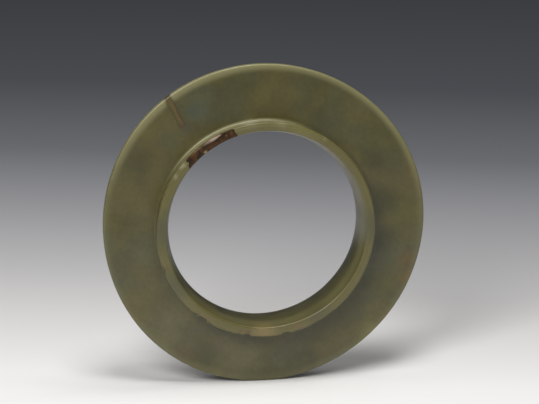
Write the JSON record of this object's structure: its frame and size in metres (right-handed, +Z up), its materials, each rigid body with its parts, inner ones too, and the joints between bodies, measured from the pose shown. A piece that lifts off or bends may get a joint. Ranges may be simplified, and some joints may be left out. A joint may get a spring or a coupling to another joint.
{
  "type": "collared jade ring",
  "caption": "Ancient carved jade ring: a flat round disc with a raised tubular collar round its wide hole on both faces, a russet rind patch on the rim and an ochre vein.",
  "frame": {"origin": "on the ground under the middle of the ring, at the lowest point of the edge that it stands on", "axes": "+Z up, +Y along the hole's axis towards the back face, so the front face looks towards -Y and +X is to its right"},
  "size_m": [0.1058, 0.0178, 0.1063],
  "materials": {
    "nephrite": "soft old polish, cloudy grey-olive, slightly translucent at thin edges",
    "weathered_rind": "glossy red-brown natural skin, uneven",
    "vein_filling": "polished ochre filling with brown edges"
  },
  "bodies": {
    "root": {"jade_ring": "nephrite", "russet_rind": "weathered_rind", "ochre_vein": "vein_filling"}
  },
  "joints": []
}
